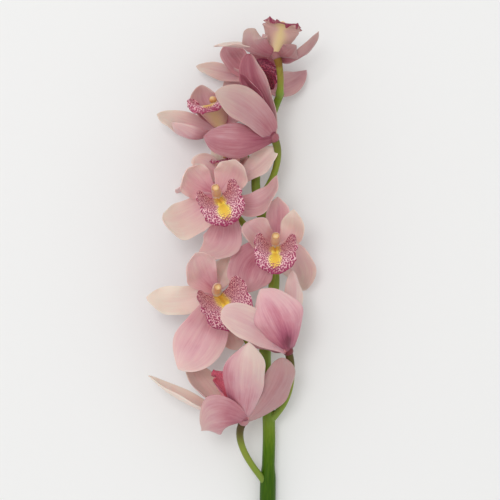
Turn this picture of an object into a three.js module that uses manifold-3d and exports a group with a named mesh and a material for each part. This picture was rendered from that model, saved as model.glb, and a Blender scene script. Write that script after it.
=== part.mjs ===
// A cut stem of pink cymbidium orchid with ten open blooms, lying on its back on a table.
// The stem and the bloom stalks are one solid. Each bloom is four: its five tepals, grown together
// round a small hub, its three-lobed lip, its column and the cap on the column's end.
// Millimetres. +Y runs up the spike, +Z up from the table, and +X to the right seen from above.
// The origin is under the middle of the whole, on the table.

import * as THREE from "three";
import { mergeVertices } from "three/addons/utils/BufferGeometryUtils.js";
import Module from "manifold-3d";

const wasm = await Module();
wasm.setup();

const GAP = 0.35; // air between two pieces that touch
const HUB_RADIUS = 3.8; // where a bloom's tepals meet
const ROOT_OUT = 2; // how far from the hub's middle a tepal starts
const FOCUS = 30; // a tepal's inner face looks at the point this far in front of the hub
const RIB_CONTROLS = [0.33, 0.72]; // where along a tepal its rib is pulled to one side
const SECTION_STEPS = 12; // steps that a bent section is added up in

const TEPAL = {
  cellsLong: 5,
  cellsAcross: 4,
  crowding: 1.3, // over 1, the cells are shorter near the tip
  ribThick: 1.3,
  edgeThick: 0.75,
  rootShare: 0.3, // width at the root over the greatest width
  widestAt: 0.56,
  waist: 1.2, // over 1, the lower half is narrower
  tipSharpness: 0.72, // 0.5 gives a round tip, 1 a pointed one
  tipWidth: 0.8,
  keelDegrees: 14,
  endCup: 0.7, // share of its cup that a tepal keeps at the root and the tip
};

// The lip's middle line, as [forward, up] from the hub: out over the lower side, then down.
const LIP_LINE = [
  [1, -3],
  [16, -7.5],
  [30, -4],
  [27, -21],
];
const LIP = {
  cellsLong: 7,
  across: [-1, -0.7, -0.36, -0.12, 0, 0.12, 0.36, 0.7, 1],
  thick: 0.8,
  waveHeight: 1.3,
  waves: 4,
  waveStart: [0.4, 0.62], // share of the length over which the ruffles grow
  turnsLate: 1.25, // over 1, its sides curl up more towards their margins
  ridgeAt: 0.12, // share of the half width, each side of the middle
  ridgeHeight: 2,
  ridgeFrom: 0.1,
  ridgeTo: 0.52,
};
// [share of the length, half width in mm] and [share of the length, degrees the section bends through]
const LIP_HALF_WIDTHS = [
  [0, 4],
  [0.2, 14],
  [0.45, 22],
  [0.6, 18],
  [0.8, 14],
  [0.9, 11],
  [1, 4],
];
const LIP_BENDS = [
  [0, 150],
  [0.34, 235],
  [0.45, 215],
  [0.6, 140],
  [0.8, 40],
  [1, -60],
];

const COLUMN = {
  line: [
    [1, 1.2],
    [10, 3],
    [16, 6.5],
    [20, 5.4],
  ],
  rootWide: 7,
  endWide: 5.2,
  rootDeep: 6.4,
  endDeep: 4.4,
  sides: 6,
  steps: 3,
};
const CAP = { long: 3.6, wide: 5.4, deep: 4.8, tipShare: 0.15, sides: 6, steps: 3 };

// The stem's middle line from the cut end to the top bloom's stalk.
const STEM_LINE = [
  [24, -194.5, 5.3],
  [24.3, -165, 5.3],
  [24.8, -128, 8],
  [25.5, -95, 14],
  [24.5, -70, 18],
  [22.5, -40, 21],
  [26, -10, 22],
  [29, 15, 22],
  [24, 48, 22],
  [16, 80, 23],
  [20, 108, 27],
  [29, 134, 35],
  [33.5, 145, 41],
];
const STEM = { sides: 10, steps: 19 };
// [distance up the spike, radius]
const STEM_RADII = [
  [-194.5, 5.75],
  [-130, 5.7],
  [-118, 4.6],
  [-60, 4.4],
  [0, 4],
  [80, 3.2],
  [150, 2.6],
];
const STALK = {
  sides: 6,
  steps: 6,
  rootRadius: 2.3,
  midRadius: 2.3,
  ovaryRadius: 2.8,
  leaves: 16, // how far it runs along the stem's own direction at first
  arrives: 13, // how far it runs straight into the bloom's back
  sunk: 1, // how deep its end sits in the hub
};

// From the lowest bloom up. A bloom has its hub's middle, the way it faces, the side its column is on, the
// height where its stalk leaves the stem, and where that stalk bends. A tepal has its tip, the pull on its
// rib, a further pull near the tip, its width, its waist, how much wider one side is than the other, the
// degrees it is cupped through, the sharpness of its tip, and the way its inner face looks, where that isn't
// the bloom's own middle. What a bloom or a tepal doesn't name is as in the tables above.
const BLOOMS = [
  {
    name: "bloom_01",
    at: [7.5, -84.5, 40],
    faces: [-0.12, 0.98, 0.1],
    up: [0.1, 0.1, 0.95],
    node: -134,
    bends: [
      [15, -122, 14],
      [-0.5, -101, 28],
    ],
    lipSize: 1.2,
    ruffle: 2.4,
    tepals: {
      dorsal_sepal: {
        tip: [11, -28, 73],
        bow: [3, 2, 15],
        wide: 32,
        waist: 0.9,
        lean: 0.22,
        cup: 60,
        sharp: 0.95,
        looks: [-0.1, 0.2, -1],
      },
      right_petal: {
        tip: [34, -40, 48],
        bow: [9, -3, 6],
        wide: 28,
        waist: 0.9,
        lean: -0.14,
        cup: 30,
        sharp: 0.5,
        looks: [-0.4, 0.5, -0.8],
      },
      right_sepal: { tip: [-34, -43, 24], bow: [-4, -4, -6], wide: 29, cup: 40 },
      left_petal: { tip: [-60, -53.5, 30], bow: [2, -9, 0], wide: 24, cup: 80 },
      left_sepal: {
        tip: [-22, -91, 44],
        bow: [0, 1.5, 14],
        wide: 32,
        lean: -0.5,
        cup: 40,
        sharp: 1.6,
        looks: [0.2, 0.5, -0.9],
      },
    },
  },
  {
    name: "bloom_02",
    at: [38.5, -35.5, 42],
    faces: [-0.6, 0.75, 0.1],
    up: [0.3, 0.2, 0.9],
    node: -86,
    bends: [
      [40, -76, 24],
      [43.5, -54, 38],
    ],
    tepals: {
      dorsal_sepal: { tip: [19, 8, 66], bow: [6, -3, 16], wide: 40, cup: 70, looks: [-0.2, 0.3, -1] },
      left_petal: {
        tip: [-8, -8, 75.5],
        bow: [-2, 5, 8],
        wide: 25,
        cup: 30,
        sharp: 0.5,
        looks: [0, 0.3, 1],
      },
      right_petal: { tip: [41, 21, 46], bow: [4, 0, 0], wide: 16, cup: 50, looks: [-0.5, 0, -0.9] },
      left_sepal: { tip: [12, -29, 50], bow: [0, -3, -2], wide: 22, cup: 50 },
      right_sepal: { tip: [24, 8, 36], bow: [2, 0, -6], wide: 22, cup: 40 },
    },
  },
  {
    name: "bloom_03",
    at: [-11.5, 5.5, 33],
    faces: [0.15, -0.05, 1],
    up: [-0.38, 0.92, 0],
    node: -60,
    lipSize: 1.2,
    tepals: {
      dorsal_sepal: { tip: [-25.5, 33, 61], bow: [-5, 0, -3], wide: 26, cup: 50, sharp: 0.5 },
      left_petal: { tip: [-60.5, 1.8, 42], bow: [0, -5, -4], wide: 22, waist: 0.7, cup: 30 },
      right_petal: { tip: [-3, 30, 26], bow: [0, 0, -4], wide: 18, cup: 30 },
      left_sepal: { tip: [-38.5, -48, 42], bow: [5.5, -4, 2], wide: 37, cup: 30, sharp: 0.7 },
      right_sepal: { tip: [3, -36, 20], bow: [0, 0, -2], wide: 24, cup: 30 },
    },
  },
  {
    name: "bloom_04",
    at: [29.5, 39.5, 38],
    faces: [0, 0, 1],
    up: [0.03, 1, 0],
    node: -20,
    tepals: {
      dorsal_sepal: { tip: [31.5, 72, 46], bow: [1, 0, -8], wide: 18, cup: 30, sharp: 0.85 },
      left_petal: { tip: [9.5, 54.5, 50], bow: [-3, 0, 4], wide: 25, cup: 100 },
      right_petal: { tip: [42, 63, 58], bow: [7, -4, -6], wide: 20, cup: 50 },
      left_sepal: { tip: [8, 5, 34], bow: [-6, 4, -4], wide: 35, cup: 30, sharp: 0.5 },
      right_sepal: { tip: [48, 6.5, -1], bow: [6, 6, 6], wide: 28, cup: 40, sharp: 0.7 },
    },
  },
  {
    name: "bloom_05",
    at: [-11, 73.5, 42],
    faces: [0.05, -0.03, 1],
    up: [-0.35, 0.94, 0],
    node: 20,
    lipSize: 1.05,
    tepals: {
      dorsal_sepal: { tip: [-31, 91, 64], bow: [-7, 1, -6], wide: 28, cup: 60, sharp: 0.5 },
      left_petal: {
        tip: [-48.5, 56, 62],
        bow: [-5, -7, -8],
        wide: 28,
        waist: 0.35,
        lean: -0.28,
        cup: 40,
        sharp: 0.5,
      },
      right_petal: { tip: [2, 97, 62], bow: [4, 2, -6], wide: 26, waist: 0.9, cup: 50, sharp: 0.6 },
      left_sepal: { tip: [-24, 33.5, 38], bow: [10, -11, -5], wide: 29, lean: -0.3, cup: 50 },
      right_sepal: { tip: [30.5, 86.5, 60], bow: [10, -17, -4], wide: 20, cup: 50 },
    },
  },
  {
    name: "bloom_06",
    at: [0, 81, 27],
    faces: [-0.25, 0.9, 0.1],
    up: [0.2, -0.1, -0.95],
    node: 50,
    lipSize: 0.72,
    tepals: {
      dorsal_sepal: { tip: [-8, 118, 10], bow: [0, 0, -6], wide: 22, cup: 40 },
      left_petal: { tip: [-29.5, 97, 34], bow: [-2, 4, 0], wide: 18, cup: 40, looks: [0, 0.3, 1] },
      right_petal: { tip: [30.5, 107, 40], bow: [2, 0, 4], wide: 18, cup: 30, looks: [-0.2, 0.4, 1] },
      left_sepal: { tip: [-41, 76, -1], bow: [0, 4, 3], wide: 24, cup: 40 },
      right_sepal: { tip: [14, 116, 20], bow: [0, 0, 0], wide: 20, cup: 30 },
    },
  },
  {
    name: "bloom_07",
    at: [28.5, 113.5, 46],
    faces: [-0.75, 0.62, -0.35],
    up: [0.3, 0.2, 0.9],
    node: 70,
    bends: [
      [29, 83, 28],
      [34.5, 100, 38],
    ],
    lipSize: 0.8,
    tepals: {
      dorsal_sepal: { tip: [-20, 113, 60], bow: [0, -5, 14], wide: 27, cup: 60, looks: [0.1, 0.2, -1] },
      left_petal: {
        tip: [-12, 143, 65.5],
        bow: [4, 4, 7],
        wide: 25,
        waist: 0.6,
        cup: 30,
        looks: [0.2, 0.2, 1],
      },
      right_petal: { tip: [5, 157, 54], bow: [3, 0, 2], wide: 10, cup: 40, looks: [-0.4, 0, 1] },
      left_sepal: {
        tip: [12, 171.5, 48],
        bow: [4, 0, -2],
        hook: [-11, 0, 0],
        wide: 22,
        cup: 80,
        sharp: 0.5,
        looks: [-0.4, 0, 1],
      },
      right_sepal: { tip: [14, 146, 36], bow: [4, 0, 0], wide: 18, cup: 50 },
    },
  },
  {
    name: "bloom_08",
    at: [-8.5, 121.5, 25],
    faces: [-0.28, 0.77, 0.57],
    up: [0.1, 0.35, -0.9],
    node: 84,
    lipSize: 1.05,
    tepals: {
      dorsal_sepal: { tip: [-22, 152, 24], bow: [-5, 0, -4], wide: 23, cup: 50 },
      left_petal: { tip: [-54, 131, 26], bow: [0, -4, -6], wide: 20, cup: 40, looks: [0.2, 0.5, 1] },
      right_petal: { tip: [-5, 149, 24], bow: [6, -2, -10], wide: 21, cup: 40, looks: [0, 0.3, 1] },
      left_sepal: { tip: [-42, 124, 46], bow: [-2, -11, 4], wide: 22, cup: 60, looks: [0.2, 0.9, -0.4] },
      right_sepal: { tip: [8, 134, 22], bow: [0, 0, 2], wide: 20, cup: 40 },
    },
  },
  {
    name: "bloom_09",
    at: [17.5, 155.5, 18],
    faces: [0.1, -0.1, 1],
    up: [-0.1, -1, 0],
    node: 126,
    bends: [
      [28, 142, 28],
      [20, 147, 8],
    ],
    lipSize: 0.75,
    tepals: {
      dorsal_sepal: { tip: [-7.5, 150.5, 6], bow: [0, 0, -2], wide: 20, cup: 30 },
      left_petal: { tip: [52.5, 164.5, 2], bow: [0, -9, 4], wide: 19, cup: 30, sharp: 0.9 },
      right_petal: { tip: [-26.5, 166, 16], bow: [0, 0, 2], wide: 12, cup: 40 },
      left_sepal: { tip: [24.5, 184, 8], bow: [0, 0, 2], wide: 22, cup: 30 },
      right_sepal: { tip: [-5, 181, 24], bow: [-4, 0, -2], wide: 19, cup: 40, sharp: 0.5 },
    },
  },
  {
    name: "bloom_10",
    at: [30, 170, 56],
    faces: [0.2, 0.97, 0.05],
    up: [0, 0.05, -1],
    node: 142,
    bends: [
      [34.5, 153, 50],
      [32, 164, 56],
    ],
    lipSize: 0.78,
    lipBend: 0.8,
    ruffle: 2.6,
    tepals: {
      dorsal_sepal: { tip: [28, 188, 32], bow: [0, 0, -4], wide: 20, cup: 30 },
      left_petal: { tip: [-13.5, 176.5, 50], bow: [0, 3, 0], wide: 16, cup: 30, looks: [0, 1, 0.2] },
      right_petal: {
        tip: [59.5, 187, 48],
        bow: [0, -15, 0],
        hook: [6, 10, 0],
        wide: 12,
        cup: 50,
        sharp: 1,
        looks: [-0.6, 0.7, -0.6],
      },
      left_sepal: { tip: [15.5, 187, 64], bow: [-10, -3, 4], wide: 24, cup: 60, looks: [0.5, 0.4, -0.8] },
      right_sepal: { tip: [43.5, 176, 62], bow: [2, -4, 4], wide: 17, cup: 50, looks: [-0.4, 0.6, -0.7] },
    },
  },
];

const COLOURS = {
  stem: [0x5d7f2c, 0.5],
  tepals: [0xd9a5ad, 0.55],
  lip: [0xd98aa2, 0.5],
  column: [0xdfae9c, 0.45],
  cap: [0xe8c77a, 0.45],
};

const vector = (numbers) => new THREE.Vector3(...numbers);
const radians = THREE.MathUtils.degToRad;

// The value at u on a smooth line through [u, value] pairs.
function through(pairs, u) {
  const next = pairs.findIndex(([at]) => at >= u);
  if (next <= 0) return pairs.at(next)[1];
  const [u0, from] = pairs[next - 1];
  const [u1, to] = pairs[next];
  return from + (to - from) * THREE.MathUtils.smoothstep(u, u0, u1);
}

function solid(points, triangles) {
  return new wasm.Manifold(
    new wasm.Mesh({
      numProp: 3,
      vertProperties: new Float32Array(points.flatMap((p) => p.toArray())),
      triVerts: new Uint32Array(triangles.flat()),
    }),
  );
}

// A solid of rings round a line, closed at both ends. ring(u) gives its middle and two half axes.
function tube(steps, sides, phase, ring) {
  const points = [];
  const triangles = [];
  for (let i = 0; i <= steps; i++) {
    const { middle, a, b } = ring(i / steps, i);
    for (let k = 0; k < sides; k++) {
      const angle = phase + (2 * Math.PI * k) / sides;
      points.push(middle.clone().addScaledVector(a, Math.cos(angle)).addScaledVector(b, Math.sin(angle)));
    }
  }
  for (let i = 0; i < steps; i++)
    for (let k = 0; k < sides; k++) {
      const [p, q] = [i * sides + k, i * sides + ((k + 1) % sides)];
      triangles.push([p, q, q + sides], [p, q + sides, p + sides]);
    }
  for (let k = 1; k < sides - 1; k++) {
    const end = steps * sides;
    triangles.push([0, k + 1, k], [end, end + k, end + k + 1]);
  }
  const made = solid(points, triangles);
  if (made.volume() > 0) return made;
  return solid(points, triangles.map(([x, y, z]) => [x, z, y]));
}

// A thin blade: two faces over one grid, split alike, and a rim. at(u, v) gives a point of the middle
// surface, its normal and half the thickness there. Nothing goes under the table.
function blade(cellsLong, across, at) {
  const columns = across.length;
  const rows = cellsLong + 1;
  const upper = [];
  const lower = [];
  for (let i = 0; i < rows; i++)
    for (const v of across) {
      const { point, normal, half } = at(i / cellsLong, v);
      const [above, below] = normal.z > 0 ? [half, -half] : [-half, half];
      const top = point.clone().addScaledVector(normal, above);
      const under = point.clone().addScaledVector(normal, below);
      under.z = Math.max(under.z, 0);
      top.z = Math.max(top.z, TEPAL.edgeThick * Math.abs(normal.z), under.z);
      upper.push(normal.z > 0 ? top : under);
      lower.push(normal.z > 0 ? under : top);
    }
  const count = rows * columns;
  const triangles = [];
  const quad = (p, q, r, s) => triangles.push([p, q, r], [p, r, s]);
  for (let i = 0; i < cellsLong; i++)
    for (let j = 0; j < columns - 1; j++) {
      const [p, q] = [i * columns + j, i * columns + j + 1];
      quad(p, q, q + columns, p + columns);
      triangles.push([p + count, q + count + columns, q + count]);
      triangles.push([p + count, p + count + columns, q + count + columns]);
    }
  for (let i = 0; i < cellsLong; i++) {
    const near = i * columns;
    const far = near + columns - 1;
    quad(far, far + count, far + columns + count, far + columns);
    quad(near, near + columns, near + columns + count, near + count);
  }
  for (let j = 0; j < columns - 1; j++) {
    const end = cellsLong * columns + j;
    quad(end, end + 1, end + 1 + count, end + count);
    quad(j, j + count, j + 1 + count, j + 1);
  }
  return solid([...upper, ...lower], triangles);
}

// Across a bent blade, with a keel: how far out and how far up the point at v lies, as shares of the half
// width, and the slope there. Over 1, late bends it more towards its margins.
function section(v, bend, keel, late = 1) {
  const slopeAt = (reach) => keel / 2 + (bend / 2) * reach ** late;
  const step = Math.abs(v) / SECTION_STEPS;
  let [out, rise] = [0, 0];
  for (let i = 0; i < SECTION_STEPS; i++) {
    const slope = slopeAt((i + 0.5) * step);
    out += Math.cos(slope) * step;
    rise += Math.sin(slope) * step;
  }
  return { out: Math.sign(v) * out, rise, slope: Math.sign(v) * slopeAt(Math.abs(v)) };
}

function tepalOutline(u, { sharp = TEPAL.tipSharpness, waist = TEPAL.waist }) {
  const { rootShare, widestAt } = TEPAL;
  if (u < widestAt) return rootShare + (1 - rootShare) * Math.sin((Math.PI * u) / (2 * widestAt)) ** waist;
  const past = (u - widestAt) / (1 - widestAt);
  return (1 - past * past) ** sharp;
}

// grow widens and thickens the blade, to cut clearance with.
function tepal(bloom, shape, grow = 0) {
  const tip = vector(shape.tip);
  const bow = vector(shape.bow);
  const hook = vector(shape.hook ?? [0, 0, 0]);
  const [near, far] = RIB_CONTROLS;
  const outward = tip.clone().sub(vector(bloom.at)).multiplyScalar(near).add(bow).normalize();
  const root = vector(bloom.at).addScaledVector(outward, ROOT_OUT);
  const rib = new THREE.CubicBezierCurve3(
    root,
    root.clone().lerp(tip, near).add(bow),
    root.clone().lerp(tip, far).add(bow).add(hook),
    tip,
  );
  const focus = root.clone().addScaledVector(vector(bloom.faces).normalize(), FOCUS);
  const innerAt = (point) => (shape.looks ? vector(shape.looks) : focus.clone().sub(point));
  const across = Array.from({ length: TEPAL.cellsAcross + 1 }, (_, j) => (2 * j) / TEPAL.cellsAcross - 1);
  return blade(TEPAL.cellsLong, across, (share, v) => {
    const u = 1 - (1 - share) ** TEPAL.crowding;
    const along = rib.getTangent(u);
    const side = along.clone().cross(innerAt(rib.getPoint(u))).normalize();
    const inner = side.clone().cross(along);
    const width = Math.max(shape.wide * tepalOutline(u, shape), TEPAL.tipWidth);
    const halfWidth = width / 2 + grow;
    const sideways = halfWidth * (1 + Math.sign(v) * (shape.lean ?? 0));
    const bend = radians(shape.cup) * THREE.MathUtils.lerp(TEPAL.endCup, 1, Math.sin(Math.PI * u));
    const { out, rise, slope } = section(v, bend, radians(TEPAL.keelDegrees));
    const point = rib
      .getPoint(u)
      .addScaledVector(side, out * sideways)
      .addScaledVector(inner, rise * halfWidth);
    const normal = inner.clone().multiplyScalar(Math.cos(slope)).addScaledVector(side, -Math.sin(slope));
    const half = THREE.MathUtils.lerp(TEPAL.ribThick, TEPAL.edgeThick, Math.abs(v)) / 2 + grow;
    return { point, normal, half };
  });
}

// A bloom's own axes: forward, up and to the right.
function axes(bloom) {
  const forward = vector(bloom.faces).normalize();
  const right = forward.clone().cross(vector(bloom.up)).normalize();
  const up = right.clone().cross(forward);
  return { forward, up, right };
}

// A line drawn in a bloom's forward and up directions, as a curve in space.
function bloomCurve(bloom, line, size = 1) {
  const { forward, up } = axes(bloom);
  const points = line.map(([ahead, above]) =>
    vector(bloom.at).addScaledVector(forward, ahead * size).addScaledVector(up, above * size),
  );
  return new THREE.CubicBezierCurve3(...points);
}

function lip(bloom) {
  const { right } = axes(bloom);
  const size = bloom.lipSize ?? 1;
  const line = bloomCurve(bloom, LIP_LINE, size);
  return blade(LIP.cellsLong, LIP.across, (u, v) => {
    const along = line.getTangent(u);
    const inner = right.clone().cross(along);
    const halfWidth = through(LIP_HALF_WIDTHS, u) * size;
    const bend = radians(through(LIP_BENDS, u)) * (bloom.lipBend ?? 1);
    const { out, rise, slope } = section(v, bend, 0, LIP.turnsLate);
    const waveHeight = bloom.ruffle ?? LIP.waveHeight;
    const wave = waveHeight * Math.abs(v) ** 3 * Math.sin(2 * Math.PI * LIP.waves * u + v);
    const ruffle = wave * THREE.MathUtils.smoothstep(u, ...LIP.waveStart);
    const onRidge = Math.abs(v) === LIP.ridgeAt && u > LIP.ridgeFrom && u < LIP.ridgeTo;
    const normal = inner.clone().multiplyScalar(Math.cos(slope)).addScaledVector(right, -Math.sin(slope));
    const raised = onRidge ? LIP.ridgeHeight / 2 : 0;
    const point = line
      .getPoint(u)
      .addScaledVector(right, out * halfWidth)
      .addScaledVector(inner, rise * halfWidth)
      .addScaledVector(normal, ruffle + raised);
    return { point, normal, half: LIP.thick / 2 + raised };
  });
}

function column(bloom, grow = 0) {
  const { right } = axes(bloom);
  const line = bloomCurve(bloom, COLUMN.line);
  const size = (root, end, u) => (root + (end - root) * u) / 2 + grow;
  return tube(COLUMN.steps, COLUMN.sides, 0, (u) => ({
    middle: line.getPoint(u),
    a: right.clone().multiplyScalar(size(COLUMN.rootWide, COLUMN.endWide, u)),
    b: right.clone().cross(line.getTangent(u)).multiplyScalar(size(COLUMN.rootDeep, COLUMN.endDeep, u)),
  }));
}

// A dome that sits on the column's end.
function cap(bloom) {
  const { right } = axes(bloom);
  const line = bloomCurve(bloom, COLUMN.line);
  const along = line.getTangent(1);
  return tube(CAP.steps, CAP.sides, 0, (u) => {
    const swell = Math.max(Math.cos((Math.PI / 2) * u), CAP.tipShare);
    return {
      middle: line.getPoint(1).addScaledVector(along, GAP + CAP.long * u),
      a: right.clone().multiplyScalar((CAP.wide / 2) * swell),
      b: right.clone().cross(along).multiplyScalar((CAP.deep / 2) * swell),
    };
  });
}

// The small ball that a bloom's tepals grow from.
function hub(bloom, grow = 0) {
  const ball = new THREE.SphereGeometry(HUB_RADIUS + grow, 6, 4);
  ball.deleteAttribute("normal");
  ball.deleteAttribute("uv");
  const merged = mergeVertices(ball.translate(...bloom.at));
  const points = [];
  for (let i = 0; i < merged.attributes.position.count; i++)
    points.push(new THREE.Vector3().fromBufferAttribute(merged.attributes.position, i));
  const triangles = [];
  for (let i = 0; i < merged.index.count; i += 3) triangles.push([...merged.index.array.slice(i, i + 3)]);
  return solid(points, triangles);
}

const stemCurve = new THREE.CatmullRomCurve3(STEM_LINE.map(vector), false, "centripetal");

// A round rod of changing radius along a curve. With a flat side, one of its facets looks down at the root.
function rod(curve, steps, sides, radius, flatSide = false) {
  const frames = curve.computeFrenetFrames(steps);
  const down = new THREE.Vector3(0, 0, -1);
  const facing = Math.atan2(down.dot(frames.binormals[0]), down.dot(frames.normals[0]));
  return tube(steps, sides, flatSide ? facing + Math.PI / sides : 0, (u, i) => {
    const middle = curve.getPointAt(u);
    const size = radius(u, middle);
    return {
      middle,
      a: frames.normals[i].clone().multiplyScalar(size),
      b: frames.binormals[i].clone().multiplyScalar(size),
    };
  });
}

// How far along the stem's curve, from 0 to 1, it has come this far up the spike.
function stemAt(height) {
  let [low, high] = [0, 1];
  while (high - low > 1e-4) {
    const middle = (low + high) / 2;
    if (stemCurve.getPointAt(middle).y < height) low = middle;
    else high = middle;
  }
  return low;
}

// What a faceted rod's corner radius grows by, for a clearance round it on every side.
function clearance(sides, grow) {
  if (grow === 0) return 0;
  const flatness = Math.cos(Math.PI / sides);
  return (grow + STALK.ovaryRadius * (1 - flatness)) / flatness;
}

// A bloom's stalk, from inside the stem to inside the hub.
function stalk(bloom, grow = 0) {
  const u = stemAt(bloom.node);
  const root = stemCurve.getPointAt(u);
  const hubMiddle = vector(bloom.at);
  const [leaving, arriving] = bloom.bends?.map(vector) ?? [
    root.clone().addScaledVector(stemCurve.getTangentAt(u), STALK.leaves),
    hubMiddle.clone().addScaledVector(axes(bloom).forward, -STALK.arrives),
  ];
  const inwards = hubMiddle.clone().sub(arriving).normalize();
  const end = hubMiddle.addScaledVector(inwards, grow - HUB_RADIUS + STALK.sunk);
  const curve = new THREE.CubicBezierCurve3(root, leaving, arriving, end);
  const radii = [
    [0, STALK.rootRadius],
    [0.5, STALK.midRadius],
    [1, STALK.ovaryRadius],
  ];
  const room = clearance(STALK.sides, grow);
  return rod(curve, STALK.steps, STALK.sides, (along) => through(radii, along) + room);
}

// The underside that lies on the table is trimmed flat.
function stem(grow = 0) {
  const radius = (u, p) => through(STEM_RADII, p.y) + clearance(STEM.sides, grow);
  const trunk = rod(stemCurve, STEM.steps, STEM.sides, radius, true);
  const whole = BLOOMS.reduce((sum, bloom) => sum.add(stalk(bloom, grow)), trunk);
  return whole.trimByPlane([0, 0, 1], 0);
}

// The largest body of a solid: what a cut leaves loose is dropped.
function largest(made) {
  return made.decompose().reduce((best, body) => (body.volume() > best.volume() ? body : best));
}

// The four solids of a bloom. Each gives way to the one it grows from.
function bloomSolids(bloom, stemRoom) {
  const shapes = Object.values(bloom.tepals);
  const whorl = shapes.reduce((whole, shape) => whole.add(tepal(bloom, shape)), hub(bloom));
  const whorlRoom = shapes.reduce((whole, shape) => whole.add(tepal(bloom, shape, GAP)), hub(bloom, GAP));
  return {
    tepals: largest(whorl.subtract(stemRoom)),
    lip: largest(lip(bloom).subtract(whorlRoom).subtract(column(bloom, GAP))),
    column: largest(column(bloom).subtract(whorlRoom)),
    cap: cap(bloom),
  };
}

function mesh(name, kind, made) {
  const { numProp, vertProperties, triVerts } = made.getMesh();
  const geometry = new THREE.BufferGeometry();
  geometry.setAttribute("position", new THREE.BufferAttribute(vertProperties, numProp));
  geometry.setIndex(new THREE.BufferAttribute(triVerts, 1));
  geometry.computeVertexNormals();
  const [color, roughness] = COLOURS[kind];
  const finish = new THREE.MeshStandardMaterial({ color, roughness, metalness: 0 });
  const named = new THREE.Mesh(geometry, finish);
  named.name = name;
  return named;
}

const orchid = new THREE.Group();
orchid.add(mesh("stem", "stem", stem()));
const stemRoom = stem(GAP);
for (const bloom of BLOOMS)
  for (const [kind, made] of Object.entries(bloomSolids(bloom, stemRoom)))
    orchid.add(mesh(`${bloom.name}_${kind}`, kind, made));

export default orchid;
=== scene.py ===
import bpy
import numpy as np
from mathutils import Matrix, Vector


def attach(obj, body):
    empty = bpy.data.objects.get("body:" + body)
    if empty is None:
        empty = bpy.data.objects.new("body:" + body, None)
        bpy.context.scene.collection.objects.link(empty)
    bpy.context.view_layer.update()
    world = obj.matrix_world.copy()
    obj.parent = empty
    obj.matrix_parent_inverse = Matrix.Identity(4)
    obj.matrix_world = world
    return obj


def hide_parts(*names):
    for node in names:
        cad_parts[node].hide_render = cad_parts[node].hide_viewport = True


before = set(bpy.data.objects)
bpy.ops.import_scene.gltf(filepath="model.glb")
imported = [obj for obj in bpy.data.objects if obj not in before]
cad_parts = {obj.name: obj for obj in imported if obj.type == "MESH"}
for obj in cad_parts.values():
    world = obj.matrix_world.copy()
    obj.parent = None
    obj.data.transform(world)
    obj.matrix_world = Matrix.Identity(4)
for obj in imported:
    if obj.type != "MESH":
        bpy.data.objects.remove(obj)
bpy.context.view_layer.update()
print("frame loaded:", len(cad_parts), "nodes")

mm = 0.001
poleGap = 0.02  # the angle that a round end's first ring keeps from its pole


# Each input is a value or a socket to link.
def addNode(tree, kind, inputs=None, **settings):
    made = tree.nodes.new(kind)
    for name, value in settings.items():
        setattr(made, name, value)
    for socket, value in (inputs or {}).items():
        if isinstance(value, bpy.types.NodeSocket):
            tree.links.new(value, made.inputs[socket])
        else:
            made.inputs[socket].default_value = value
    return made


def linearColour(hexText):
    channels = [int(hexText[i:i + 2], 16) / 255 for i in (1, 3, 5)]
    return (*[c / 12.92 if c <= 0.04045 else ((c + 0.055) / 1.055) ** 2.4 for c in channels], 1)


def newMaterial(name, roughness, **constants):
    material = bpy.data.materials.new(name)
    material.use_nodes = True
    tree = material.node_tree
    shader = tree.nodes["Principled BSDF"]
    shader.inputs["Roughness"].default_value = roughness
    for socket, value in constants.items():
        shader.inputs[socket.replace("_", " ")].default_value = value
    return material, tree, shader


def setRamp(node, stops):
    ramp = node.color_ramp
    while len(ramp.elements) < len(stops):
        ramp.elements.new(1)
    for element, (at, hexText) in zip(ramp.elements, stops):
        element.position = at
        element.color = linearColour(hexText)


def unit(vectors):
    vectors = np.asarray(vectors, float)
    return vectors / np.maximum(np.linalg.norm(vectors, axis=-1, keepdims=True), 1e-9)


# 0 at low, 1 at high and smooth between them. low may be the greater.
def ease(low, high, x):
    t = np.clip((x - low) / (high - low), 0, 1)
    return t * t * (3 - 2 * t)


# A smooth line through (u, value) pairs that never overshoots them.
def through(pairs, u):
    at, value = np.array(pairs, float).T
    secant = np.diff(value) / np.diff(at)
    before, after = secant[:-1], secant[1:]
    both = np.where(before + after == 0, 1, before + after)
    inner = np.where(before * after > 0, 2 * before * after / both, 0)
    slope = np.concatenate([secant[:1], inner, secant[-1:]])
    i = np.clip(np.searchsorted(at, u) - 1, 0, len(at) - 2)
    span = at[i + 1] - at[i]
    t = np.clip((u - at[i]) / span, 0, 1)
    return (
        (1 + 2 * t) * (1 - t) ** 2 * value[i] + t * (1 - t) ** 2 * span * slope[i]
        + t * t * (3 - 2 * t) * value[i + 1] - t * t * (1 - t) * span * slope[i + 1]
    )


# A curve's points and the way it runs at each.
def bezier(controls, u):
    a, b, c, d = [np.array(p, float) for p in controls]
    u = np.asarray(u, float)[..., None]
    w = 1 - u
    point = a * w ** 3 + 3 * b * w * w * u + 3 * c * w * u * u + d * u ** 3
    along = (b - a) * w * w + 2 * (c - b) * w * u + (d - c) * u * u
    return point, unit(along)


# One closed shell: vertices in millimetres, faces, and what each vertex carries for its material.
def shell(points, faces, across, along, **marks):
    return {"points": points, "faces": faces, "across": across, "along": along, "marks": marks}


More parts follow.
